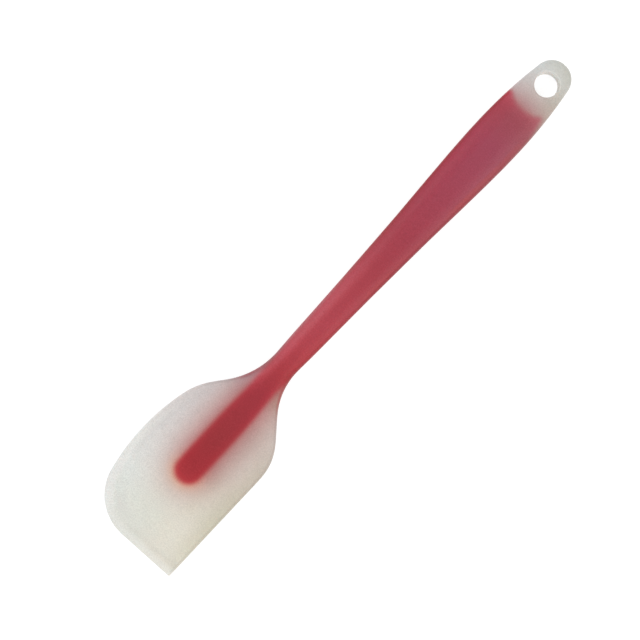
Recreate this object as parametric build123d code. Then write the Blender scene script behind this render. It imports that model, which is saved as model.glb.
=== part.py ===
"""Silicone spatula: one silicone moulding over a rigid nylon core. Millimetres.

The object lies flat, with its handle along +Y, the blade's straight side at +X and its faces up and down.
Everything is worked out with Y counted from the blade's end edge and Z from the mid-plane, and the
finished pieces are then moved so that the origin is the middle of the base of the resting box.
"""

from build123d import *
import os
from math import atan2, cos, degrees, pi, radians, sin, sqrt, tan

os.makedirs("parts", exist_ok=True)

# Whole object
overall_length = 280.0
blade_width = 52.6
neck_place = 102.7
neck_width = 12.2

# Blade outline: an end edge that leans a little, a wide round corner and a sharp one
end_edge_lean = 1.35
corner_radius = 22.7

# Curved side: a long arc, then shoulder, slope and neck, which share out the width that is left to lose
curved_side_radius = 100.7
curved_side_turn = 13.7
curved_slope = 38.5
curved_shoulder_share = 0.32
curved_neck_share = 0.46

# Straight side: shoulder, slope and neck
straight_slope = 40.0
straight_shoulder_share = 0.28
straight_neck_share = 0.35

# Handle outline: it swells from the neck to its fullest place, then tapers into the round tip
handle_setback = 41.0
handle_width = 22.5
tip_radius = 8.6
tip_taper = 8.0
handle_swell_shares = [
    (0.075, 0.09),
    (0.20, 0.18),
    (0.33, 0.28),
    (0.46, 0.41),
    (0.59, 0.55),
    (0.72, 0.74),
    (0.84, 0.90),
    (0.93, 0.985),
]
eye_taper_shares = [(0.20, 0.05), (0.40, 0.17), (0.60, 0.37), (0.80, 0.64)]

# Thickness on the centre line, and the radius of the rounded rim
end_thickness = 2.2
neck_thickness = 9.6
handle_thickness = 11.0
eye_thickness = 6.4
end_rim = 0.9
blade_rim = 1.3
neck_rim = 3.4
handle_rim = 4.0
eye_rim = 2.5
fullest_rim_share = 0.8
flat_share = 0.5

# Wiping lip round the end edge and the curved side: a gentle slope, then a steeper one up to the face
lip_edge_thickness = 0.9
lip_angle = 13.5
lip_width = 4.6
lip_step_angle = 35.0

# Hanging hole
hole_setback = 12.2
hole_radius = 5.4
hole_chamfer = 0.5

# Nylon core: a tongue in the blade, a bar in the neck and handle, and an end hollowed towards the hole
tongue_place = 33.9
tongue_width = 13.0
tongue_thickness = 2.8
tongue_rim = 1.1
tongue_straight_share = 0.3
core_neck_wall = 1.05
core_neck_rim = 2.4
core_side_wall = 1.7
core_face_wall = 1.4
core_handle_rim = 2.9
core_skew = 0.5
notch_setback = 16.4
notch_radius = 11.0
core_end_share = 0.7

# Turns, in degrees, at which sections are taken round the corner, the tip and the tongue's end
corner_turns = [20, 34, 48, 62]
tip_turns = [25, 42, 58, 72, 82]
tongue_turns = [10, 25, 45, 65]
blade_steps = 11
core_steps = 8

# Cutters run past what they cut, and the moulding starts just beyond its end edge
overrun = 3.0
end_trim = 0.15

blade_half = blade_width / 2
neck_half = neck_width / 2
handle_place = overall_length - handle_setback
hole_place = overall_length - hole_setback
notch_place = overall_length - notch_setback


class Ring:
    """A circle of the outline: x is counted outwards from the centre line, y along the length."""

    def __init__(self, x, y, radius):
        self.x, self.y, self.radius = x, y, radius

    def half_chord(self, y):
        return sqrt(max(self.radius**2 - (y - self.y) ** 2, 0))

    def outer(self, y):
        """How far out the far side of the circle is at y."""
        return self.x + self.half_chord(y)

    def inner(self, y):
        """How far out the near side of the circle is at y."""
        return self.x - self.half_chord(y)

    def point(self, turn):
        """The point at a turn in degrees, 0 pointing outwards and 90 towards the hanging eye."""
        return self.x + self.radius * cos(radians(turn)), self.y + self.radius * sin(radians(turn))

    def turn_to(self, other):
        """The turn at which the centre of another circle is seen from this one's."""
        return degrees(atan2(other.y - self.y, other.x - self.x))


class Side:
    """A side of the blade: a long arc or a straight, a shoulder, a slope and the neck, all tangent.

    The long arc turns inwards by long_turn, and the slope lies at its own angle to the length. The width
    left to lose after the long arc is shared out, so the runs stay tangent when a size changes.
    """

    def __init__(self, slope, shoulder_share, neck_share, long_radius=0, long_turn=0):
        turned, steepest = radians(long_turn), radians(slope)
        long_reach = blade_half - long_radius * (1 - cos(turned))
        lost = long_reach - neck_half
        neck_radius = lost * neck_share / (1 - cos(steepest))
        shoulder_radius = lost * shoulder_share / (cos(turned) - cos(steepest))
        self.fall = tan(steepest)
        self.neck = Ring(neck_half + neck_radius, neck_place, neck_radius)
        self.neck_start = neck_place - neck_radius * sin(steepest)
        self.slope_start = self.neck_start - lost * (1 - shoulder_share - neck_share) / self.fall
        shoulder_y = self.slope_start - shoulder_radius * sin(steepest)
        self.shoulder = Ring(long_reach - shoulder_radius * cos(turned), shoulder_y, shoulder_radius)
        self.long_end = shoulder_y + shoulder_radius * sin(turned)
        self.long = Ring(blade_half - long_radius, self.long_end - long_radius * sin(turned), long_radius)

    def reach(self, y):
        """How far the side is from the centre line at y, up to the neck."""
        if y <= self.long_end:
            return self.long.outer(y)
        if y <= self.slope_start:
            return self.shoulder.outer(y)
        if y <= self.neck_start:
            return self.neck.inner(self.neck_start) + (self.neck_start - y) * self.fall
        return self.neck.inner(y)


straight_side = Side(straight_slope, straight_shoulder_share, straight_neck_share)
curved_shares = (curved_shoulder_share, curved_neck_share)
curved_side = Side(curved_slope, *curved_shares, long_radius=curved_side_radius, long_turn=curved_side_turn)

# The wide corner touches the end edge's line and the curved side's long arc
corner_drop = curved_side.long.y - corner_radius
corner_in = sqrt((curved_side_radius - corner_radius) ** 2 - corner_drop**2)
corner = Ring(curved_side.long.x + corner_in, corner_radius, corner_radius)
corner_turn = curved_side.long.turn_to(corner)

# Ends: the round tip of the handle, and the round end of the core's tongue
tip = Ring(0, overall_length - tip_radius, tip_radius)
taper_end = tip.point(tip_taper)
tongue_end = Ring(0, tongue_place + tongue_width / 2, tongue_width / 2)
core_end = notch_place - notch_radius * core_end_share


def along(places, y):
    """The value at y on straight runs through (place, value) pairs."""
    for (y0, v0), (y1, v1) in zip(places, places[1:]):
        if y <= y1:
            return v0 + (v1 - v0) * (y - y0) / (y1 - y0)
    return places[-1][1]


def eased(places, y):
    """The value at y on a curve through (place, value) pairs that is level at each of them."""
    for (y0, v0), (y1, v1) in zip(places, places[1:]):
        if y <= y1:
            return v0 + (v1 - v0) * (1 - cos(pi * (max(y, y0) - y0) / (y1 - y0))) / 2
    return places[-1][1]


def shared_out(start, end, shares):
    """The (place, value) pairs that shares mark off between two (place, value) ends, with both ends."""
    (y0, v0), (y1, v1) = start, end
    return [(y0 + (y1 - y0) * run, v0 + (v1 - v0) * rise) for run, rise in [(0, 0), *shares, (1, 1)]]


def evenly(start, end, steps):
    """Places from a start up to, and without, an end."""
    return [start + (end - start) * step / steps for step in range(steps)]


swell = shared_out((neck_place, neck_half), (handle_place, handle_width / 2), handle_swell_shares)
taper = shared_out(swell[-1], (taper_end[1], taper_end[0]), eye_taper_shares)


def handle_reach(y):
    """Half the handle's width at y, beyond the neck."""
    if y > taper_end[1]:
        return tip.outer(y)
    return along([*swell, *taper[1:]], y)


def curved_reach(y):
    """How far the moulding reaches from its centre line to its curved side at y."""
    if y <= curved_side.long.point(corner_turn)[1]:
        return corner.outer(y)
    return curved_side.reach(y) if y <= neck_place else handle_reach(y)


def straight_reach(y):
    """How far the moulding reaches from its centre line to its straight side at y."""
    return straight_side.reach(y) if y <= neck_place else handle_reach(y)


def rounded_off(full, distance):
    """A half thickness that rounds off towards an end that lies a distance away."""
    return sqrt(full**2 - (full - distance) ** 2) if distance < full else full


def half_thickness(y):
    """Half the moulding's thickness on its centre line: a wedge in the blade, a swell in the handle."""
    if y <= neck_place:
        return along([(0, end_thickness / 2), (neck_place, neck_thickness / 2)], y)
    fullest = (handle_place, handle_thickness / 2)
    full = eased([(neck_place, neck_thickness / 2), fullest, (hole_place, eye_thickness / 2)], y)
    return rounded_off(full, overall_length - y)


def rim_radius(y):
    """Radius of the moulding's rounded rim at y."""
    blade = [(0, end_rim), (straight_side.long_end, blade_rim), (neck_place, neck_rim)]
    return along([*blade, (handle_place, handle_rim), (hole_place, eye_rim)], y)


def cross_section(y, middle, reach, height, rim):
    """An oval square to the length at y: a flat on each face, crowned shoulders and round rims."""
    rim = min(rim, reach * fullest_rim_share, height * fullest_rim_share)
    flat = (reach - rim) * flat_share
    crown = ((reach - rim - flat) ** 2 + height**2 - rim**2) / (2 * (height - rim))
    meet_x = flat + (reach - rim - flat) * crown / (crown - rim)
    meet_z = (crown - height) * rim / (crown - rim)
    round_rim = ThreePointArc((meet_x, meet_z), (reach, 0), (meet_x, -meet_z))
    half = [round_rim]
    for face, meet in ((height, meet_z), (-height, -meet_z)):
        half += [Line((0, face), (flat, face)), TangentArc((flat, face), (meet_x, meet), tangent=(1, 0))]
    mirrored = [edge.mirror(Plane.YZ) for edge in half]
    plane = Plane(origin=(middle, y, 0), x_dir=(1, 0, 0), z_dir=(0, -1, 0))
    return plane * make_face([*half, *mirrored])


def moulding_blank():
    """The moulding as one loft of ovals, each in the middle between the two sides of the outline."""
    corner_run = [corner_radius * (1 - cos(radians(turn))) - end_trim for turn in corner_turns]
    blade_run = evenly(corner_run[-1], neck_place, blade_steps)[1:]
    handle_run = [y for y, _ in [*swell, *taper[1:]]]
    tip_run = [tip.point(turn)[1] for turn in tip_turns]
    places = [-end_trim, *corner_run, *blade_run, *handle_run, *tip_run]
    widths = [(straight_reach(y), curved_reach(y)) for y in places]
    middles = [((straight - curved) / 2, (straight + curved) / 2) for straight, curved in widths]
    ovals = [(*middle, half_thickness(y), rim_radius(y)) for y, middle in zip(places, middles)]
    return loft([cross_section(y, *oval) for y, oval in zip(places, ovals)])


def end_cut():
    """All that lies beyond the end edge, which leans back a little towards the sharp corner."""
    x, y = corner.point(-90 - end_edge_lean)
    beyond = (Align.CENTER, Align.MAX, Align.CENTER)
    block = Box(overall_length, overall_length, overall_length, align=beyond)
    return Pos(-x, y, 0) * Rot(Z=end_edge_lean) * block


def lip_path():
    """The line that the lip follows: the end edge, the corner and the curved side, then straight on."""
    edge_end = corner.point(-90 - end_edge_lean)
    corner_middle = corner.point((corner_turn - 90) / 2)
    side_first = curved_side.long.point(corner_turn)
    side_middle = curved_side.long.point((corner_turn + curved_side_turn) / 2)
    side_last = curved_side.long.point(curved_side_turn)
    before = blade_half + overrun + edge_end[0]
    start = (-blade_half - overrun, edge_end[1] + before * tan(radians(end_edge_lean)))
    finish = (side_last[0] - (neck_place - side_last[1]) * tan(radians(curved_side_turn)), neck_place)
    marks = [start, edge_end, corner_middle, side_first, side_middle, side_last, finish]
    points = [(-x, y) for x, y in marks]
    end_line = Line(points[0], points[1])
    round_corner = ThreePointArc(points[1], points[2], points[3])
    long_side = ThreePointArc(points[3], points[4], points[5])
    run_out = Line(points[5], points[6])
    return Wire([end_line, round_corner, long_side, run_out])


def lip_cut():
    """What the upper face loses round the lip: all above two slopes climbing inwards from the lip's edge."""
    path = lip_path()
    edge = lip_edge_thickness / 2
    crest = edge + lip_width * tan(radians(lip_angle))
    above = neck_thickness
    step = (above - crest) / tan(radians(lip_step_angle))
    slopes = [(overrun, edge), (0, edge), (-lip_width, crest), (-lip_width - step, above)]
    profile = Polyline(*slopes, (overrun, above), close=True)
    heading = path % 0
    plane = Plane(origin=path @ 0, x_dir=(-heading.Y, heading.X, 0), z_dir=heading)
    return sweep(plane * make_face(profile), path=path)


def hanging_hole():
    """The hole's straight wall, with a chamfer at each face."""
    wall = Cylinder(hole_radius, eye_thickness + 2 * overrun)
    depth = hole_chamfer + overrun
    flare = Cone(hole_radius, hole_radius + depth, depth, align=(Align.CENTER, Align.CENTER, Align.MIN))
    upper = Pos(0, 0, eye_thickness / 2 - hole_chamfer) * flare
    return Pos(0, hole_place, 0) * (wall + upper + upper.mirror(Plane.XY))


def core_half_width(y):
    """Half the core's width at y: a round-ended tongue, a narrower neck, then a wall inside the handle."""
    if y <= tongue_end.y:
        return tongue_end.outer(y)
    if y <= neck_place:
        straight_end = along([(0, tongue_end.y), (1, neck_place)], tongue_straight_share)
        return eased([(straight_end, tongue_width / 2), (neck_place, neck_half - core_neck_wall)], y)
    return handle_reach(y) - along([(neck_place, core_neck_wall), (handle_place, core_side_wall)], y)


def core_half_thickness(y):
    """Half the core's thickness at y: a wedge in the blade, then a wall inside the handle's faces."""
    if y > neck_place:
        return half_thickness(y) - core_face_wall
    wedge = [(tongue_place, tongue_thickness / 2), (neck_place, neck_thickness / 2 - core_face_wall)]
    return rounded_off(along(wedge, y), y - tongue_place)


def core_rim_radius(y):
    """Radius of the core's rounded edges at y."""
    bar = [(neck_place, core_neck_rim), (handle_place, core_handle_rim), (core_end, tongue_rim)]
    return along([(tongue_place, tongue_rim), *bar], y)


def core_blank():
    """The core as one loft of ovals, from the tongue's round end to the square tips of its horns."""
    tongue_run = [tongue_end.point(turn - 90)[1] for turn in tongue_turns]
    blade_run = evenly(tongue_end.y, neck_place, core_steps)
    handle_run = [y for y, _ in swell]
    places = [*tongue_run, *blade_run, *handle_run, (handle_place + core_end) / 2, core_end]
    ovals = [(core_half_width(y), core_half_thickness(y), core_rim_radius(y)) for y in places]
    return loft([cross_section(y, 0, *oval) for y, oval in zip(places, ovals)])


def nylon_core():
    """The core with its end hollowed towards the hole, lying a little askew about the spatula's middle."""
    bar = core_blank() - Pos(0, notch_place, 0) * Cylinder(notch_radius, handle_thickness)
    middle = overall_length / 2
    return Pos(0, middle, 0) * Rot(Z=core_skew) * Pos(0, -middle, 0) * bar


def silicone_overmould(core):
    """The moulding with its leaning end edge, lip and hole, and with the core's space inside it."""
    body = moulding_blank() - end_cut()
    upper_cut = lip_cut()
    body -= upper_cut
    body -= upper_cut.mirror(Plane.XY)
    body -= hanging_hole()
    return body - core


core = nylon_core()
overmould = silicone_overmould(core)
box = overmould.bounding_box()
to_frame = Pos(-box.center().X, -box.center().Y, -box.min.Z)
pieces = {"silicone_overmould": overmould, "nylon_core": core}
for node, piece in pieces.items():
    export_step(to_frame * piece, f"parts/{node}.step")
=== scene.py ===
"""Looks of the silicone spatula: a frosted moulding over a red core, on a white floor.

Blender works in metres. The moulding's skin is worked out in millimetres, with y counted along the length
from the blade's end edge, x outwards to the straight side and z from the mid-plane, and is then moved into
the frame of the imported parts.
"""

import bpy
import numpy as np
from math import atan2, cos, pi, prod, radians, sin, sqrt, tan
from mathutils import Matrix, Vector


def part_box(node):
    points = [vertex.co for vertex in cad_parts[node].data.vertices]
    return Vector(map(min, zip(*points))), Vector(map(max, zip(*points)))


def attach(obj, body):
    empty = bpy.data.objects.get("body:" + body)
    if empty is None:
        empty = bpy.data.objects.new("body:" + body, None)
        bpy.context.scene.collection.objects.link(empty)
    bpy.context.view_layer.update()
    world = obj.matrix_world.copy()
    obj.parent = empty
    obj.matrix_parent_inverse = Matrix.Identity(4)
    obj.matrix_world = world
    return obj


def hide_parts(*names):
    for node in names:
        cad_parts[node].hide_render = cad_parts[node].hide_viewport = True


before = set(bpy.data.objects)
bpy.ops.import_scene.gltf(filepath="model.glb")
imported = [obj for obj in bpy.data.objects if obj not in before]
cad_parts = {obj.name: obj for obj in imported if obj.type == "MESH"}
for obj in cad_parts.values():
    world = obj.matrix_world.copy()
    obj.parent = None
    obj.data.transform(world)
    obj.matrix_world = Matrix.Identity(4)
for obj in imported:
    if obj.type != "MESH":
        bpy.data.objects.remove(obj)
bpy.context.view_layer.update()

MM = 0.001

# Moulding outline
overall_length = 280.0
blade_width = 52.6
neck_place = 102.7
neck_width = 12.2
end_edge_lean = 1.35
corner_radius = 22.7
curved_side_radius = 100.7
curved_side_turn = 13.7
curved_slope = 38.5
curved_shoulder_share = 0.32
curved_neck_share = 0.46
straight_slope = 40.0
straight_shoulder_share = 0.28
straight_neck_share = 0.35
handle_setback = 41.0
handle_width = 22.5
tip_radius = 8.6
tip_taper = 8.0
handle_swell_shares = [
    (0.075, 0.09),
    (0.20, 0.18),
    (0.33, 0.28),
    (0.46, 0.41),
    (0.59, 0.55),
    (0.72, 0.74),
    (0.84, 0.90),
    (0.93, 0.985),
]
eye_taper_shares = [(0.20, 0.05), (0.40, 0.17), (0.60, 0.37), (0.80, 0.64)]

# Moulding thickness and rounded rims
end_thickness = 2.2
neck_thickness = 9.6
handle_thickness = 11.0
eye_thickness = 6.4
end_rim = 0.9
blade_rim = 1.3
neck_rim = 3.4
handle_rim = 4.0
eye_rim = 2.5
fullest_rim_share = 0.8
flat_share = 0.5
lip_edge_thickness = 0.9
lip_angle = 13.5
lip_width = 4.6
lip_step_angle = 35.0
end_edge_round = 0.2
crease_softness = 0.6
hole_setback = 12.2
hole_radius = 5.4
hole_chamfer = 0.5
hole_crease_softness = 0.05

# Core inside the moulding
tongue_place = 33.9
tongue_width = 13.0
tongue_straight_share = 0.3
core_neck_wall = 1.05
core_side_wall = 1.7
core_skew = 0.5
notch_setback = 16.4
notch_radius = 11.0
core_end_share = 0.7

# Skin grid: rows along the length, columns across, and rings round the hole
corner_rows = 40
corner_rows_turn = 60.0
blade_rows = 110
handle_rows = 110
half_columns = 60
eye_side_points = 26
tip_points = 30
eye_rings = 28
eye_grid_setback = 26.0
end_shear_run = 25.0
sharp_angle = 35.0
weld_steps_per_mm = 1e4
least_length = 1e-6

# Tables along the length, averaged over a bell that is taken as nothing at bell_reach times its spread
table_step = 0.25
smoothing = 2.0
smoothed_run = (50, 262)
bell_reach = 4

# How the core shows: with a soft edge, a glow in the silicone beside it, and wider through the rounded rims
glow_cell = 0.5
edge_blur = 0.8
rim_blur = 2.4
glow_blur = 7.0
glow_strength = 1.6
glow_shift = 0.5
curved_lens = [
    (32, -0.06),
    (45, -0.15),
    (62, -0.15),
    (74, 0),
    (87, 0),
    (95, 0.8),
    (102, 1.6),
    (135, 1.6),
    (160, 2.6),
    (250, 2.6),
    (258, 1.8),
]
straight_lens = [
    (32, -0.06),
    (38, 0),
    (76, 0),
    (84, -0.25),
    (90, -0.25),
    (96, 0.8),
    (102, 2.2),
    (110, 2.6),
    (228, 2.6),
    (247, 1.9),
    (256, 0.8),
]
notch_lens = 0.35
notch_shift = 0.5

# Screen colours along the length, each with its place in millimetres
silicone_tones = [
    (0, (217, 217, 210)),
    (15, (218, 218, 209)),
    (30, (217, 212, 203)),
    (45, (212, 204, 196)),
    (60, (207, 197, 190)),
    (80, (199, 187, 181)),
    (262, (201, 195, 190)),
    (273, (204, 204, 200)),
    (280, (197, 197, 189)),
]
glow_tones = [
    (40, (169, 50, 56)),
    (80, (169, 56, 64)),
    (250, (165, 76, 84)),
]
core_tones = [
    (35, (166, 36, 45)),
    (44, (157, 26, 38)),
    (60, (151, 31, 41)),
    (86, (156, 34, 48)),
    (98, (167, 43, 54)),
    (112, (174, 54, 66)),
    (125, (174, 58, 71)),
    (140, (171, 56, 69)),
    (160, (164, 52, 66)),
    (180, (161, 52, 69)),
    (205, (160, 57, 77)),
    (232, (157, 62, 83)),
    (247, (157, 66, 80)),
    (250, (163, 72, 85)),
    (254, (173, 85, 95)),
]
nylon_tones = [(140, 24, 36), (158, 34, 46)]
nylon_mottle_fade = (0.3, 0.7)
nylon_roughness = 0.4
nylon_roughness_spread = 0.15

# Linear colours of the lip and of the veil over the handle, and tints that multiply a colour
lip_tone = (0.82, 0.825, 0.8, 1)
cool_lip_tone = (0.76, 0.755, 0.725, 1)
milky_tone = (0.55, 0.5, 0.49, 1)
plain_tint = (1, 1, 1, 1)
# Painted cool light, for the curved side
painted_cool_light_tint = (1.03, 1.08, 1.14, 1)
# Painted shade along the straight side's edge
edge_shade_tint = (0.87, 0.865, 0.805, 1)
halo_tint = (1.15, 1.02, 0.85, 1)
pure_tint = (1.1, 0.58, 0.72, 1)
clear_edge_tint = (1, 0.82, 0.87, 1)
# A deeper red at the rim: partly the core seen through the side wall, partly painted shade along the outline
rim_tint = (0.93, 0.45, 0.5, 1)
# Painted highlight, pinker near the blade
pink_highlight_tint = (1.05, 1, 1.15, 1)
area_tints = {
    # Painted warm light on the straight side
    "painted_warm_light_side": (0.99, 0.985, 0.965, 1),
    "rosy_end": (1.045, 1.005, 0.985, 1),
    # Painted shade along the lip's crease at the round corner
    "corner_crease_shade": (0.97, 0.96, 0.975, 1),
    # Painted shade on the blade's right, beside the tongue
    "shaded_blade_right": (0.975, 0.98, 0.95, 1),
    "left_neck": (0.84, 0.81, 0.83, 1),
    "right_neck": (0.9, 0.92, 0.84, 1),
    "clear_neck": (1, 0.78, 0.8, 1),
    "right_band": (1.06, 1.28, 1.08, 1),
    "late_band": (1.06, 0.92, 0.77, 1),
    "left_side": (1, 0.87, 0.97, 1),
    # Painted shade along the rims at the neck's left
    "left_rim_shade": (0.84, 0.78, 0.8, 1),
    "outer_rim_shade": (0.84, 0.78, 0.8, 1),
}

# Areas of the skin: a strength, and fades in millimetres across, along, up, in from the lip's line or the
# outline, or out from the hole. Two places fade from nothing to full, and four fade in and out again
areas = {
    # Painted warm light on the straight side
    "painted_warm_light_side": (1, {"across": (-14, 14)}),
    "rosy_end": (1, {"across": (0, 14), "along": (34, 16)}),
    # Painted cool light on the curved side, stronger on the blade and weaker at the eye
    "painted_cool_light_side": (1, {"across": (0, -22)}),
    "cool_blade": (0.7, {"along": (8, 26)}),
    "cool_eye": (0.05, {"along": (236, 262)}),
    # Painted shade along the straight side's edge, left out along the neck and handle and weaker at the eye
    "painted_edge_shade": (1, {"across": (0, 3), "edge": (11, 0), "along": (-6, 20)}),
    "dull_gap": (1, {"along": (58, 76, 240, 256)}),
    "dull_eye": (0.7, {"along": (261, 275)}),
    "narrow_lip_right": (1, {"across": (-12, 0)}),
    "narrow_lip_side": (1, {"along": (18, 40)}),
    "lip_run": (1, {"along": (62, 22)}),
    "thin_lip": (0.7, {"across": (-18, -8)}),
    "warm_lip": (1, {"across": (-14, -4)}),
    # Painted shade along the lip's crease at the round corner
    "corner_crease_shade": (1, {"lip": (4, 5.5, 8.5, 11), "across": (-2, -12), "along": (20, 8)}),
    # Painted shade to the tongue's right: a darker blade there and a weaker glow
    "shaded_blade_right": (1, {"across": (7, 14), "along": (20, 30, 42, 54)}),
    "less_glow_in_shade": (0.12, {"across": (5, 8, 11, 18), "along": (44, 54, 86, 94)}),
    "left_neck": (1, {"across": (14, -14), "along": (75, 88, 95, 104)}),
    "right_neck": (1, {"across": (0, 6), "along": (80, 88, 94, 104)}),
    "tongue_halo": (4, {"along": (49, 34)}),
    "left_handle": (0.6, {"across": (-1, -10), "along": (115, 160)}),
    "left_far_handle": (0.4, {"across": (-1, -10), "along": (185, 225)}),
    "clear_neck": (1, {"across": (1, 5), "along": (90, 98, 118, 140)}),
    "clear_edge": (1, {"across": (2.5, 4.5), "along": (92, 99, 107, 116)}),
    "clear_rim": (1, {"across": (2.5, 4.5), "edge": (1.6, 0.6), "along": (110, 120, 132, 148)}),
    "right_band": (1, {"across": (0, 4), "edge": (0.9, 1.5, 2, 3.4), "along": (135, 155, 190, 235)}),
    "late_band": (1, {"across": (4, 8), "edge": (0.3, 0.9, 2.2, 3.6), "along": (192, 206, 234, 248)}),
    "pale_tongue": (0.5, {"along": (100, 88)}),
    "rim": (1, {"edge": (1.8, 0.6)}),
    "pale_side": (1, {"across": (1, -1), "along": (97, 105, 134, 148)}),
    "red_rim": (0.45, {"edge": (1.8, 0.6), "along": (80, 90, 97, 104)}),
    # Painted highlight on the neck's left shoulder, pinker near the blade
    "painted_highlight": (1, {"across": (0, -4), "along": (80, 99, 135, 190)}),
    "pink_painted_highlight": (1, {"along": (124, 106)}),
    "left_side": (1, {"across": (-2, -4.5), "along": (120, 132, 160, 175)}),
    # Painted shade along the rims at the neck's left
    "left_rim_shade": (1, {"across": (-2, -4), "edge": (3, 1.2), "along": (82, 89, 95, 103)}),
    "outer_rim_shade": (1, {"across": (-2, -4), "edge": (1.3, 0.4), "along": (94, 100, 106, 113)}),
    "veil": (0.055, {"across": (0, 11), "along": (135, 250)}),
    # Painted shade along the rims, away from the lip and the eye
    "rim_shade": (0.12, {"edge": (1.8, 0.6), "lip": (0.5, 3), "along": (258, 250)}),
    # Painted shadow of the tongue, to its right
    "tongue_shadow": (0.08, {"across": (5, 9, 12, 20), "along": (38, 46, 64, 80)}),
    # Painted shade along the lip's step by the end edge
    "lip_step": (0.035, {"lip": (3.2, 4.4, 5.2, 6.8), "across": (-4, 2), "along": (20, 10)}),
    # Painted light on the hole's wall, less towards its top and its right
    "hole_wall": (1, {"hole": (0.25, 0)}),
    "wall_top": (0.17, {"height": (4, 7)}),
    "wall_right": (0.36, {"across": (2.5, 5)}),
    # Painted highlight on the hole's chamfer, on its far side
    "chamfer_highlight": (0.11, {"hole": (0.15, 0.4, 0.6, 1.1), "along": (267, 271)}),
    "smooth_side": (0.1, {"across": (-16, -4)}),
}

# The lip's fade with its depth, and how strongly the painted cool light, the painted highlight,
# the painted light on the hole's wall and the noises show
lip_fade = (5.2, 3)
cool_least_share = 0.3
wall_light_share = 0.52
painted_highlight_share = 0.15
painted_highlight_veil_share = 0.05
grain_veil_share = 0.05
grain_share = 0.57
mottle_share = 0.07
noise_middle = 0.5
silicone_roughness = 0.5
silicone_roughness_spread = 0.1

# A square floor, and a camera straight above, turned so that the handle points up and to the right
floor_half = 3.0
picture_middle = (-1.98, -13.42)
picture_width = 277.8
camera_distance = 700.0
camera_turn = 43.16
sensor_width = 36.0

blade_half = blade_width / 2
neck_half = neck_width / 2
handle_place = overall_length - handle_setback
hole_place = overall_length - hole_setback
eye_grid_place = overall_length - eye_grid_setback
notch_place = overall_length - notch_setback
core_end = notch_place - notch_radius * core_end_share
tongue_end = tongue_place + tongue_width / 2


def circle_x(x, y, radius, at, side=1):
    """x of the circle round (x, y) at each y in at: centre plus or minus the root of radius^2 - rise^2."""
    return x + side * np.sqrt(np.maximum(radius**2 - (at - y) ** 2, 0))


class BladeSide:
    """A blade side, as in the CAD source: long arc, shoulder, slope and neck, each tangent to the next."""

    def __init__(self, slope, shoulder_share, neck_share, long_radius=0, long_turn=0):
        turned, steepest = radians(long_turn), radians(slope)
        long_reach = blade_half - long_radius * (1 - cos(turned))
        lost = long_reach - neck_half
        self.neck_radius = lost * neck_share / (1 - cos(steepest))
        self.neck_x = neck_half + self.neck_radius
        self.shoulder_radius = lost * shoulder_share / (cos(turned) - cos(steepest))
        self.fall = tan(steepest)
        self.neck_start = neck_place - self.neck_radius * sin(steepest)
        self.slope_start = self.neck_start - lost * (1 - shoulder_share - neck_share) / self.fall
        self.shoulder_y = self.slope_start - self.shoulder_radius * sin(steepest)
        self.shoulder_x = long_reach - self.shoulder_radius * cos(turned)
        self.long_end = self.shoulder_y + self.shoulder_radius * sin(turned)
        self.long_radius = long_radius
        self.long_x = blade_half - long_radius
        self.long_y = self.long_end - long_radius * sin(turned)

    def reach(self, y):
        """Distance of the side from the centre line at each y: the circle or line whose run holds that y."""
        neck = circle_x(self.neck_x, neck_place, self.neck_radius, np.minimum(y, neck_place), side=-1)
        at_slope = circle_x(self.neck_x, neck_place, self.neck_radius, self.neck_start, side=-1)
        runs = [
            circle_x(self.long_x, self.long_y, self.long_radius, y),
            circle_x(self.shoulder_x, self.shoulder_y, self.shoulder_radius, y),
            at_slope + (self.neck_start - y) * self.fall,
        ]
        return np.select([y <= self.long_end, y <= self.slope_start, y <= self.neck_start], runs, neck)


straight_side = BladeSide(straight_slope, straight_shoulder_share, straight_neck_share)
curved_side = BladeSide(
    curved_slope,
    curved_shoulder_share,
    curved_neck_share,
    long_radius=curved_side_radius,
    long_turn=curved_side_turn,
)
corner_in = sqrt((curved_side_radius - corner_radius) ** 2 - (curved_side.long_y - corner_radius) ** 2)
corner_x = curved_side.long_x + corner_in
corner_turn = atan2(corner_radius - curved_side.long_y, corner_in)
corner_end = curved_side.long_y + curved_side_radius * sin(corner_turn)
tip_place = overall_length - tip_radius
taper_end = tip_place + tip_radius * sin(radians(tip_taper))
taper_end_half = tip_radius * cos(radians(tip_taper))
edge_end_x = -corner_x + corner_radius * sin(radians(end_edge_lean))


def share_run(start, end, shares):
    """Places and values that shares mark off on the way from one (place, value) pair to another."""
    marks = np.array([(0, 0), *shares, (1, 1)])
    return start[0] + (end[0] - start[0]) * marks[:, 0], start[1] + (end[1] - start[1]) * marks[:, 1]


def eased(y, places, values):
    """A curve through the values that is level at each place: half cosine waves from one to the next."""
    step = np.clip(np.searchsorted(places, y) - 1, 0, len(places) - 2)
    places, values = np.array(places), np.array(values)
    share = np.clip((y - places[step]) / (places[step + 1] - places[step]), 0, 1)
    return values[step] + (values[step + 1] - values[step]) * (1 - np.cos(pi * share)) / 2


def softened(y, values, low, high):
    """The values averaged over a bell-shaped window along y, faded in and out at the two ends given."""
    window = bell_reach * smoothing
    offsets = np.arange(-window, window + table_step, table_step)
    bell = np.exp(-((offsets / smoothing) ** 2) / 2)
    padded = np.pad(values, len(offsets) // 2, mode="edge")
    smooth = np.convolve(padded, bell / bell.sum(), mode="valid")
    share = np.clip(np.minimum(y - low, high - y) / window, 0, 1)
    return values + (smooth - values) * share


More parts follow.
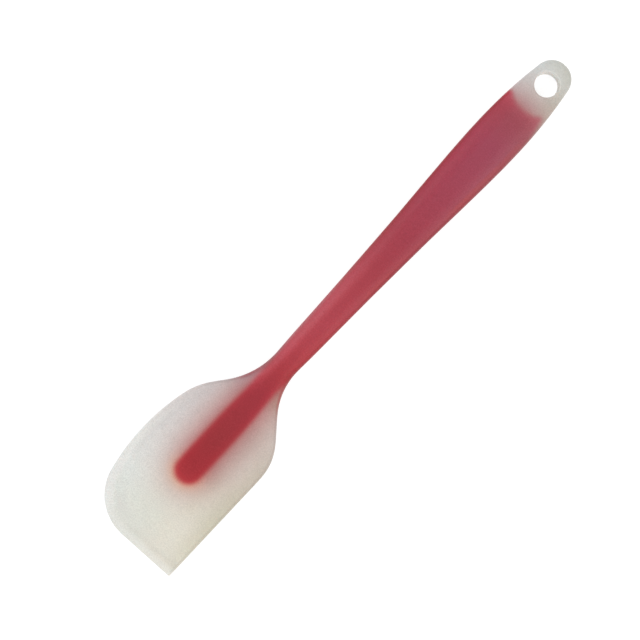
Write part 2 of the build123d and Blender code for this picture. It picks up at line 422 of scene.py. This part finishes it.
def outline_table():
    """Reach to both sides, half thickness and rim radius at closely spaced y, as in the CAD source.

    Where less length is left than the half thickness h, the tip is round: the root of 2 h left - left^2.
    """
    y = np.arange(0, overall_length + table_step, table_step)
    swell = share_run((neck_place, neck_half), (handle_place, handle_width / 2), handle_swell_shares)
    taper = share_run((handle_place, handle_width / 2), (taper_end, taper_end_half), eye_taper_shares)
    handle = np.interp(y, np.append(swell[0], taper[0][1:]), np.append(swell[1], taper[1][1:]))
    handle = np.where(y > taper_end, circle_x(0, tip_place, tip_radius, y), handle)
    round_corner = circle_x(corner_x, corner_radius, corner_radius, y)
    curved = np.where(y <= corner_end, round_corner, curved_side.reach(y))
    curved = np.where(y > neck_place, handle, curved)
    straight = np.where(y > neck_place, handle, straight_side.reach(y))
    wedge = np.interp(y, [0, neck_place], [end_thickness / 2, neck_thickness / 2])
    places = [neck_place, handle_place, hole_place]
    swelling = eased(y, places, [neck_thickness / 2, handle_thickness / 2, eye_thickness / 2])
    height = np.where(y > neck_place, swelling, wedge)
    rim_places = [0, straight_side.long_end, neck_place, handle_place, hole_place]
    rim = np.interp(y, rim_places, [end_rim, blade_rim, neck_rim, handle_rim, eye_rim])
    values = curved, straight, height, rim
    curved, straight, height, rim = (softened(y, value, *smoothed_run) for value in values)
    left = overall_length - y
    height = np.where(left < height, np.sqrt(np.maximum(2 * height * left - left**2, 0)), height)
    return y, (curved, straight, height, rim)


table_y, (table_curved, table_straight, table_height, table_rim) = outline_table()


def reach_at(y, table):
    """A table's value at each y."""
    return np.interp(y, table_y, table)


def lip_depth(x, y):
    """Distances inwards from the lip's line, and from the end edge alone.

    The line is the end edge, the round corner, the curved side and then the curved side's tangent.
    """
    out = -x
    lean = radians(end_edge_lean)
    from_end = (y - (x - edge_end_x) * tan(lean)) * cos(lean)
    from_corner = corner_radius - np.hypot(out - corner_x, y - corner_radius)
    angle = np.arctan2(y - curved_side.long_y, out - curved_side.long_x)
    from_arc = curved_side_radius - np.hypot(out - curved_side.long_x, y - curved_side.long_y)
    turned = radians(curved_side_turn)
    across = (out - curved_side.long_x) * cos(turned) + (y - curved_side.long_y) * sin(turned)
    from_side = np.where(angle <= turned, from_arc, curved_side_radius - across)
    corner_angle = np.arctan2(y - corner_radius, out - corner_x)
    in_corner = (corner_angle <= corner_turn) & (corner_angle >= -pi / 2 - lean)
    return np.where(in_corner, from_corner, np.minimum(from_end, from_side)), from_end


def lower_of(first, second, softness):
    """The lower of two heights, with a rounded crease: half their sum less the root of gap^2 + softness^2."""
    return (first + second - np.sqrt((first - second) ** 2 + softness**2)) / 2


def oval_height(x, y):
    """Height of the ovals over the mid-plane: a flat in the middle, then a crown, then a round rim.

    With reach b beyond the flat, height h and rim r the crown's radius is ((b - r)^2 + h^2 - r^2) / 2(h - r),
    and the rim's circle of radius r sits at b - r.
    """
    curved, straight = reach_at(y, table_curved), reach_at(y, table_straight)
    reach = np.maximum((curved + straight) / 2, least_length)
    off = np.minimum(np.abs(x - (straight - curved) / 2), reach)
    height = np.maximum(reach_at(y, table_height), least_length)
    rim = np.minimum(reach_at(y, table_rim), fullest_rim_share * np.minimum(reach, height))
    flat = (reach - rim) * flat_share
    curve, out = reach - rim - flat, np.maximum(off - flat, 0)
    crown = (curve**2 + height**2 - rim**2) / (2 * (height - rim))
    on_crown = height - crown + np.sqrt(np.maximum(crown**2 - out**2, 0))
    on_rim = np.sqrt(np.maximum(rim**2 - (out - curve) ** 2, 0))
    return np.where(out <= curve * crown / (crown - rim), on_crown, on_rim)


def skin_height(x, y):
    """Height of the skin over the mid-plane: the ovals, cut by the lip's two slopes and the hole's chamfer.

    A slope's height is the half thickness at its start plus depth * tan(angle), and the end edge is rounded
    off by a circle's height, the root of radius^2 - (radius - depth)^2.
    """
    oval = oval_height(x, y)
    depth, from_end = lip_depth(x, y)
    gentle = np.minimum(depth, lip_width) * tan(radians(lip_angle))
    steep = np.maximum(depth - lip_width, 0) * tan(radians(lip_step_angle))
    slope = lip_edge_thickness / 2 + gentle + steep
    lip = np.maximum(lower_of(oval, slope, crease_softness * np.clip(oval * 2, 0, 1)), 0)
    rounding = end_edge_round - np.clip(from_end, 0, end_edge_round)
    lip = np.maximum(lip - end_edge_round + np.sqrt(end_edge_round**2 - rounding**2), 0)
    skin = np.where(y < neck_place, lip, oval)
    from_hole = np.hypot(x, y - hole_place) - hole_radius
    flare = eye_thickness / 2 - hole_chamfer + from_hole
    return np.where(from_hole < hole_radius, lower_of(skin, flare, hole_crease_softness), skin)


def core_distance(x, y, lens):
    """Distance outside the core's outline seen from above, negative inside: the largest over its sides.

    The lens moves the long sides and the tongue's end out, and the notch has a lens and shift of its own.
    """
    skew, pivot = radians(core_skew), overall_length / 2
    core_x = x * cos(skew) + (y - pivot) * sin(skew)
    core_y = pivot - x * sin(skew) + (y - pivot) * cos(skew)
    narrowing = tongue_end + (neck_place - tongue_end) * tongue_straight_share
    tongue = eased(core_y, [narrowing, neck_place], [tongue_width / 2, neck_half - core_neck_wall])
    wall = np.interp(core_y, [neck_place, handle_place], [core_neck_wall, core_side_wall])
    half = np.where(core_y > neck_place, reach_at(core_y, table_straight) - wall, tongue)
    beside = np.abs(core_x) - half - lens
    round_end = np.hypot(core_x, core_y - tongue_end) - tongue_width / 2 - lens
    beside = np.where(core_y < tongue_end, round_end, beside)
    in_notch = notch_radius + notch_lens - np.hypot(core_x - notch_shift, core_y - notch_place)
    return np.maximum(beside, np.maximum(in_notch, core_y - core_end))


def outline_distance(x, y):
    """Distance in from the nearer side of the outline, measured across the length."""
    return np.minimum(x + reach_at(y, table_curved), reach_at(y, table_straight) - x)


def blurred(plan, spread):
    """A plan smoothed by a bell of the given spread, as a product with exp(-2 (pi spread frequency)^2)."""
    across, along = np.fft.rfftfreq(plan.shape[1], glow_cell), np.fft.fftfreq(plan.shape[0], glow_cell)
    fade = np.exp(-2 * (pi * spread) ** 2 * (across[None, :] ** 2 + along[:, None] ** 2))
    return np.fft.irfft2(np.fft.rfft2(plan) * fade, plan.shape)


def core_showing(x, y):
    """Shares of the core's own colour, of its deep middle and of its glow in what is seen at each place.

    All are the core's plan, widened by the lens of the rounded rims, smoothed a little, more and much more.
    """
    margin = bell_reach * glow_blur
    left, near = -blade_half - margin, -margin
    plan_x = np.arange(left, blade_half + margin, glow_cell)[None, :]
    plan_y = np.arange(near, overall_length + margin, glow_cell)[:, None]
    curved, straight = (np.interp(plan_y, *np.transpose(lens)) for lens in (curved_lens, straight_lens))
    outside = core_distance(plan_x, plan_y, np.where(plan_x < 0, curved, straight))
    plan = np.clip(0.5 - outside / glow_cell, 0, 1)
    crisp, deep = (sampled(blurred(plan, spread), x - left, y - near) for spread in (edge_blur, rim_blur))
    glow = sampled(glow_strength * blurred(plan, glow_blur), x - glow_shift - left, y - near)
    return crisp, deep, glow


def sampled(plan, x, y):
    """Values of a plan between its cells: across and along shares of the four cells round each place."""
    column, row = x / glow_cell, y / glow_cell
    before, below = column.astype(int), row.astype(int)
    after, above = column - before, row - below
    lower = plan[below, before] * (1 - after) + plan[below, before + 1] * after
    upper = plan[below + 1, before] * (1 - after) + plan[below + 1, before + 1] * after
    return np.clip(lower * (1 - above) + upper * above, 0, 1)


def grid_faces(rows, columns, start=0, closed=False):
    """Quads of a grid of points numbered row by row; a closed grid's last column joins its first."""
    row, column = np.meshgrid(np.arange(rows - 1), np.arange(columns - (not closed)), indexing="ij")
    after = (column + 1) % columns
    first, second = row * columns, (row + 1) * columns
    corners = [first + column, first + after, second + after, second + column]
    return start + np.stack(corners, -1).reshape(-1, 4)


def body_grid():
    """Plan of the blade and handle: rows of y, and x from side to side on a sine, so it crowds at the rims.

    The first rows follow the round corner as radius * (1 - cos turn), and lean with the end edge.
    """
    turn = np.linspace(0, radians(corner_rows_turn), corner_rows + 1)
    corner_y = corner_radius * (1 - np.cos(turn))
    blade_y = np.linspace(corner_y[-1], neck_place, blade_rows, endpoint=False)[1:]
    handle_y = np.linspace(neck_place, eye_grid_place, handle_rows)
    row = np.concatenate([corner_y, blade_y, handle_y])[:, None]
    across = np.sin(np.linspace(-pi / 2, pi / 2, 2 * half_columns + 1))[None, :]
    curved, straight = reach_at(row, table_curved), reach_at(row, table_straight)
    x = (straight - curved) / 2 + across * (straight + curved) / 2
    lean = np.maximum(x - edge_end_x, 0) * tan(radians(end_edge_lean))
    y = row + lean * np.clip(1 - row / end_shear_run, 0, 1)
    return x, y


def eye_grid(last_x):
    """Plan of the hanging eye: rings from the hole's rim to the outline, inner + (outer - inner) * share."""
    side_y = np.linspace(eye_grid_place, taper_end, eye_side_points, endpoint=False)[1:]
    turn = np.linspace(radians(tip_taper), pi / 2, tip_points)
    tip_x, tip_y = tip_radius * np.cos(turn), tip_place + tip_radius * np.sin(turn)
    up_x = np.append(reach_at(side_y, table_straight), tip_x)
    up_y = np.append(side_y, tip_y)
    outer_x = np.concatenate([last_x, up_x, -up_x[-2::-1]])
    outer_y = np.concatenate([np.full_like(last_x, eye_grid_place), up_y, up_y[-2::-1]])
    angle = np.arctan2(outer_y - hole_place, outer_x)
    share = ((1 - np.cos(np.linspace(0, pi, eye_rings))) / 2)[:, None]
    inner_x, inner_y = hole_radius * np.cos(angle), hole_place + hole_radius * np.sin(angle)
    return inner_x + (outer_x - inner_x) * share, inner_y + (outer_y - inner_y) * share


def moulding_skin():
    """The moulding's whole skin: upper and lower halves mirrored in the mid-plane, end edge and hole wall."""
    body_x, body_y = body_grid()
    eye_x, eye_y = eye_grid(body_x[-1])
    x = np.concatenate([body_x.ravel(), eye_x.ravel()])
    y = np.concatenate([body_y.ravel(), eye_y.ravel()])
    height = skin_height(x, y)
    rows, columns = body_x.shape
    rings, round_points = eye_x.shape
    edge = np.zeros(body_x.shape, bool)
    edge[:, [0, -1]] = True
    rim = np.zeros(eye_x.shape, bool)
    rim[-1, columns - 1 :] = True
    rim[-1, 0] = True
    height[np.concatenate([edge.ravel(), rim.ravel()])] = 0
    body = grid_faces(rows, columns)
    eye = grid_faces(rings, round_points, start=rows * columns, closed=True)[:, ::-1]
    upper = np.concatenate([body, eye])
    count = len(x)
    column = np.arange(columns - 1)
    end_edge = np.stack([column + count, column + 1 + count, column + 1, column], -1)
    ring = rows * columns + np.arange(round_points)
    after = rows * columns + (np.arange(round_points) + 1) % round_points
    hole_wall = np.stack([ring, after, after + count, ring + count], -1)
    faces = np.concatenate([upper, upper[:, ::-1] + count, end_edge, hole_wall])
    points = np.stack([np.tile(x, 2), np.tile(y, 2), np.append(height, -height)], -1)
    return welded(points, faces)


def welded(points, faces):
    """The same surface with coinciding points joined, and without the faces that this leaves with no area."""
    steps = np.round(points * weld_steps_per_mm)
    first, number = np.unique(steps, axis=0, return_index=True, return_inverse=True)[1:]
    faces = number.reshape(-1)[faces]
    repeats = faces == np.roll(faces, 1, axis=1)
    whole = faces[~repeats.any(axis=1)].tolist()
    thirds = [list(dict.fromkeys(face)) for face in faces[repeats.any(axis=1)].tolist()]
    return points[first], whole + [face for face in thirds if len(face) == 3]


def skin_object(name):
    """The skin as a mesh in the frame. Its points keep how the core shows and how deep in they lie."""
    points, faces = moulding_skin()
    low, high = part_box("silicone_overmould")
    middle = (blade_half - high.x / MM, overall_length - high.y / MM, -(low.z + high.z) / 2 / MM)
    mesh = bpy.data.meshes.new(name)
    mesh.from_pydata(((points - middle) * MM).tolist(), [], faces)
    mesh.update()
    mesh.polygons.foreach_set("use_smooth", np.ones(len(mesh.polygons), bool))
    mesh.set_sharp_from_angle(angle=radians(sharp_angle))
    x, y = points[:, 0], points[:, 1]
    crisp, deep, glow = core_showing(x, y)
    marks = {
        "core_showing": crisp,
        "core_middle": deep,
        "core_glow": glow,
        "lip_depth": np.where(y < neck_place, lip_depth(x, y)[0], lip_width),
        "edge_depth": outline_distance(x, y),
        "hole_depth": np.hypot(x, y - hole_place) - hole_radius,
    }
    for label, values in marks.items():
        mesh.attributes.new(label, "FLOAT", "POINT").data.foreach_set("value", values.astype(np.float32))
    piece = bpy.data.objects.new(name, mesh)
    bpy.context.collection.objects.link(piece)
    return piece


def linear(red, green, blue):
    """A screen colour, 0 to 255, as the linear colour that shaders take."""
    share = np.array([red, green, blue]) / 255
    return (*np.where(share <= 0.04045, share / 12.92, ((share + 0.055) / 1.055) ** 2.4), 1)


class Value:
    """A number that varies over a surface: arithmetic on it adds Math nodes to its material."""

    def __init__(self, finish, socket):
        self.finish, self.socket = finish, socket

    def maths(self, operation, first, second):
        """A Math node's result."""
        return self.finish.add("ShaderNodeMath", {"operation": operation}, {0: first, 1: second})

    def __add__(self, other):
        return self.maths("ADD", self, other)

    def __sub__(self, other):
        return self.maths("SUBTRACT", self, other)

    def __mul__(self, other):
        return self.maths("MULTIPLY", self, other)

    def __truediv__(self, other):
        return self.maths("DIVIDE", self, other)

    def __rsub__(self, other):
        return self.maths("SUBTRACT", other, self)

    __radd__, __rmul__ = __add__, __mul__

    def fade(self, start, full, *fall):
        """0 at start and 1 at full, smooth between; with two places more, back from 1 to 0 between them."""
        settings = {"interpolation_type": "SMOOTHSTEP"}
        inputs = {"Value": self, "From Min": start, "From Max": full}
        rise = self.finish.add("ShaderNodeMapRange", settings, inputs)
        return rise * self.fade(*reversed(fall)) if fall else rise


# Numbers of the Mix node's sockets, whose names repeat, and of the outputs used of two other nodes
mix_share, mix_first, mix_second, mix_colour = 0, 6, 7, 2
object_place = 3
attribute_number = 2


class Finish:
    """A material built from nodes."""

    def __init__(self, name):
        self.material = bpy.data.materials.new(name)
        self.material.use_nodes = True
        self.tree = self.material.node_tree
        self.tree.nodes.clear()

    def add(self, kind, settings, inputs, output=0):
        """Adds a node: its settings first, a ramp's stops among them, then its sockets' values or links."""
        node = self.tree.nodes.new(kind)
        for name, value in settings.items():
            if name == "stops":
                elements = node.color_ramp.elements
                elements.remove(elements[1])
                elements[0].position, elements[0].color = value[0]
                for place, colour in value[1:]:
                    elements.new(place).color = colour
            else:
                setattr(node, name, value)
        for socket, value in inputs.items():
            if isinstance(value, Value):
                self.tree.links.new(value.socket, node.inputs[socket])
            else:
                node.inputs[socket].default_value = value
        return Value(self, node.outputs[output])

    def mark(self, name):
        """A number kept on the points of the mesh."""
        return self.add("ShaderNodeAttribute", {"attribute_name": name}, {}, output=attribute_number)

    def mixed(self, share, first, second):
        """Two colours mixed by a share."""
        inputs = {mix_share: share, mix_first: first, mix_second: second}
        return self.add("ShaderNodeMix", {"data_type": "RGBA"}, inputs, output=mix_colour)

    def tinted(self, colour, tint):
        """A colour multiplied by another."""
        settings = {"data_type": "RGBA", "blend_type": "MULTIPLY"}
        inputs = {mix_share: 1, mix_first: colour, mix_second: tint}
        return self.add("ShaderNodeMix", settings, inputs, output=mix_colour)

    def scaled(self, colour, factor):
        """A colour made lighter or darker by a factor."""
        return self.add("ShaderNodeVectorMath", {"operation": "SCALE"}, {0: colour, "Scale": factor})

    def ramp(self, share, tones):
        """A colour that changes with a share, through tones at places in millimetres along the length."""
        stops = [(place / overall_length, linear(*tone)) for place, tone in tones]
        return self.add("ShaderNodeValToRGB", {"stops": stops}, {0: share})

    def surface(self, settings):
        """Ends the material with the principled shader."""
        shader = self.add("ShaderNodeBsdfPrincipled", {}, settings)
        self.add_output(shader)

    def add_output(self, shader):
        """Joins a shader to the material's output."""
        node = self.tree.nodes.new("ShaderNodeOutputMaterial")
        self.tree.links.new(shader.socket, node.inputs["Surface"])


class Skin(Finish):
    """The moulding's finish, with the places and the marks of its points in millimetres."""

    def __init__(self, name):
        super().__init__(name)
        self.showing = self.mark("core_showing")
        self.deep = self.mark("core_middle")
        self.glow = self.mark("core_glow")
        place = self.add("ShaderNodeTexCoord", {}, {}, output=object_place)
        axes = (self.add("ShaderNodeSeparateXYZ", {}, {0: place}, output=axis) for axis in range(3))
        across, along, height = (axis / MM for axis in axes)
        along = along + (overall_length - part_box("silicone_overmould")[1].y / MM)
        depths = {label: self.mark(f"{label}_depth") for label in ("lip", "edge", "hole")}
        self.runs = {"across": across, "along": along, "height": height, **depths}
        self.share = along / overall_length
        fine = {"Vector": place, "Scale": 1900, "Detail": 2, "Roughness": 0.6}
        coarse = {"Vector": place, "Scale": 260, "Detail": 2}
        self.grain = self.add("ShaderNodeTexNoise", {}, fine)
        self.mottle = self.add("ShaderNodeTexNoise", {}, coarse)

    def area(self, name):
        """How far each place lies in an area: the product of the area's fades and its strength."""
        strength, fades = areas[name]
        return prod((self.runs[run].fade(*places) for run, places in fades.items()), start=strength)

    def toned(self, colour, mask, tint):
        """A colour multiplied by a tint as far as a mask says."""
        return self.tinted(colour, self.mixed(mask, plain_tint, tint))

    def touched(self, colour, *names):
        """A colour multiplied by the tint of each area named."""
        for name in names:
            colour = self.toned(colour, self.area(name), area_tints[name])
        return colour

    def silicone(self):
        """Silicone alone: tones along the length, painted cool and warm light, and the pale lip with its
        step.
        """
        # Painted warm light on the straight side, and then painted cool light on the curved side
        colour = self.touched(self.ramp(self.share, silicone_tones), "painted_warm_light_side", "rosy_end")
        cool = self.area("painted_cool_light_side") * (cool_least_share + self.area("cool_blade") - self.area("cool_eye"))
        colour = self.toned(colour, cool, painted_cool_light_tint)
        # Painted shade along the straight side's edge
        dull = self.area("painted_edge_shade") * (1 - self.area("dull_gap")) * (1 - self.area("dull_eye"))
        colour = self.toned(colour, dull, edge_shade_tint)
        depth = self.runs["lip"] + self.area("narrow_lip_right") + self.area("narrow_lip_side")
        lip = depth.fade(*lip_fade) * self.area("lip_run") * (1 - self.area("thin_lip"))
        colour = self.mixed(lip, colour, self.mixed(self.area("warm_lip"), cool_lip_tone, lip_tone))
        # Painted shade along the lip's crease at the round corner, and on the blade's right beside the tongue
        return self.touched(colour, "corner_crease_shade", "shaded_blade_right")

    def beside_core(self, silicone):
        """The core's glow in the silicone, the shaded neck, and a halo round the tongue.

        The halo, deep (1 - deep), is strongest half way through the core's soft edge.
        """
        # A weaker glow to the tongue's right, as painted shade
        glow = self.glow * (1 - self.area("less_glow_in_shade"))
        colour = self.mixed(glow, silicone, self.ramp(self.share, glow_tones))
        colour = self.touched(colour, "left_neck", "right_neck")
        halo = self.deep * (1 - self.deep) * self.area("tongue_halo")
        return self.toned(colour, halo, halo_tint)

    def core(self, rim):
        """The core through the silicone: its tones, a purer left side, bands on the right and dark rims."""
        colour = self.ramp(self.share, core_tones)
        colour = self.toned(colour, self.area("left_handle") + self.area("left_far_handle"), pure_tint)
        colour = self.toned(colour, self.area("clear_edge") + self.area("clear_rim"), clear_edge_tint)
        colour = self.touched(colour, "clear_neck", "right_band", "late_band")
        colour = self.scaled(colour, 1 + (1 - self.deep) * self.area("pale_tongue"))
        # A deeper red at the rims, partly painted shade, left out on the neck's pale left side
        return self.toned(colour, rim * (1 - self.area("pale_side")), rim_tint)


def frosted_silicone():
    """Milky silicone with the red core showing through, with painted cool light on its curved side and
    painted warm light on the other.

    The core's colour lies over the silicone's, and a painted highlight, a milky veil, painted shade at the
    rims, beside the tongue and at the lip's step, painted light in the hole, and grain over both.
    """
    skin = Skin("frosted_silicone")
    rim = skin.area("rim")
    showing = skin.showing + skin.area("red_rim") * (1 - skin.showing)
    colour = skin.mixed(showing, skin.beside_core(skin.silicone()), skin.core(rim))
    # Painted highlight on the neck's left shoulder, pinker near the blade
    painted_highlight = skin.area("painted_highlight")
    colour = skin.toned(colour, painted_highlight * skin.area("pink_painted_highlight"), pink_highlight_tint)
    # A purer red on the left, and painted shade along the rims at the neck's left
    colour = skin.touched(colour, "left_side", "left_rim_shade", "outer_rim_shade")
    grain, mottle = skin.grain - noise_middle, skin.mottle - noise_middle
    # A milky veil, with more of it where the painted highlight lies, and grain through it
    veil = skin.area("veil") + painted_highlight * (1 + rim) * painted_highlight_veil_share
    colour = skin.mixed(veil + grain * grain_veil_share, colour, milky_tone)
    # Painted shade: along the rims, to the tongue's right as its shadow, and along the lip's step
    dark = skin.area("rim_shade") + skin.area("tongue_shadow") + skin.area("lip_step")
    # Painted light on the hole's wall, strongest at its bottom and left
    wall = skin.area("hole_wall") * (wall_light_share - skin.area("wall_top") - skin.area("wall_right"))
    speckle = grain * (grain_share - skin.area("smooth_side")) + mottle * mottle_share
    # Brightness: the painted highlight, painted light on the hole's wall and chamfer, and grain
    light = 1 + painted_highlight * painted_highlight_share + wall + skin.area("chamfer_highlight") + speckle
    colour = skin.scaled(colour, light * (1 - dark))
    bumps = skin.add("ShaderNodeBump", {}, {"Strength": 0.25, "Distance": 0.0001, "Height": skin.grain})
    skin.surface(
        {
            "Base Color": colour,
            "Roughness": silicone_roughness + mottle * silicone_roughness_spread,
            "Normal": bumps,
            "IOR": 1.41,
            "Subsurface Weight": 0.4,
            "Subsurface Radius": (0.0025, 0.002, 0.0018),
            "Subsurface Scale": 1.0,
        }
    )
    return skin.material


def red_nylon():
    """Rigid moulded nylon of the core, dark red, with a faint flow mottle."""
    finish = Finish("red_nylon")
    place = finish.add("ShaderNodeTexCoord", {}, {}, output=object_place)
    mottle = finish.add("ShaderNodeTexNoise", {}, {"Vector": place, "Scale": 120, "Detail": 4})
    dark, light = (linear(*tone) for tone in nylon_tones)
    colour = finish.mixed(mottle.fade(*nylon_mottle_fade), dark, light)
    bumps = finish.add("ShaderNodeBump", {}, {"Strength": 0.15, "Distance": 0.0002, "Height": mottle})
    roughness = nylon_roughness + mottle * nylon_roughness_spread
    finish.surface({"Base Color": colour, "Roughness": roughness, "Normal": bumps})
    return finish.material


def white_floor():
    """Pale matte floor, white to the camera and in reflections, that takes the spatula's soft shadow."""
    finish = Finish("white_floor")
    camera = finish.add("ShaderNodeLightPath", {}, {}, output=0)
    glossy = Value(finish, camera.socket.node.outputs["Is Glossy Ray"])
    transmitted = Value(finish, camera.socket.node.outputs["Is Transmission Ray"])
    seen = (camera + glossy + transmitted).fade(0, 1)
    matte = finish.add("ShaderNodeBsdfDiffuse", {}, {"Color": (0.8, 0.8, 0.8, 1)})
    dim = finish.add("ShaderNodeBsdfDiffuse", {}, {"Color": (0.35, 0.35, 0.35, 1)})
    glow = finish.add("ShaderNodeEmission", {}, {"Color": (1, 1, 1, 1), "Strength": 0.8})
    both = finish.add("ShaderNodeAddShader", {}, {0: dim, 1: glow})
    finish.add_output(finish.add("ShaderNodeMixShader", {}, {0: seen, 1: matte, 2: both}))
    return finish.material


def floor_object():
    """A square of floor under the spatula."""
    mesh = bpy.data.meshes.new("studio_floor")
    corners = [(x * floor_half, y * floor_half, 0) for x, y in ((-1, -1), (1, -1), (1, 1), (-1, 1))]
    mesh.from_pydata(corners, [], [range(len(corners))])
    floor = bpy.data.objects.new("studio_floor", mesh)
    bpy.context.collection.objects.link(floor)
    mesh.materials.append(white_floor())


def soft_light(name, place, size, power, colour):
    """A square lamp facing the spatula."""
    lamp = bpy.data.lights.new(name, "AREA")
    lamp.size, lamp.energy, lamp.color = size, power, colour
    piece = bpy.data.objects.new(name, lamp)
    piece.location = place
    piece.rotation_euler = (-piece.location).to_track_quat("-Z", "Y").to_euler()
    bpy.context.collection.objects.link(piece)


def studio():
    """Soft light all round, a cool key on the curved side and a warm fill on the straight side."""
    world = bpy.data.worlds.new("studio")
    world.use_nodes = True
    bpy.context.scene.world = world
    background = world.node_tree.nodes["Background"]
    background.inputs["Color"].default_value = (0.98, 0.99, 1.0, 1)
    background.inputs["Strength"].default_value = 0.83
    soft_light("key", place=(-0.85, 0.1, 0.7), size=0.6, power=2.2, colour=(0.95, 0.98, 1.0))
    soft_light("fill", place=(0.8, -0.2, 0.6), size=0.8, power=2.8, colour=(1.0, 0.95, 0.88))
    bpy.context.scene.view_settings.view_transform = "Standard"


def camera():
    """The photograph's view: straight down, with the picture's width at the mid-plane as measured."""
    data = bpy.data.cameras.new("camera")
    data.sensor_width = sensor_width
    data.lens = sensor_width * camera_distance / picture_width
    data.clip_start, data.clip_end = 0.05, 20
    eye = bpy.data.objects.new("camera", data)
    low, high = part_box("silicone_overmould")
    x, y = picture_middle
    eye.location = (x * MM, y * MM, (low.z + high.z) / 2 + camera_distance * MM)
    eye.rotation_euler = (0, 0, radians(camera_turn))
    bpy.context.collection.objects.link(eye)
    bpy.context.scene.camera = eye


camera()
moulding = skin_object("moulding")
moulding.data.materials.append(frosted_silicone())
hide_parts("silicone_overmould")
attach(moulding, "root")
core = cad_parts["nylon_core"]
core.data.materials.clear()
core.data.materials.append(red_nylon())
floor_object()
studio()
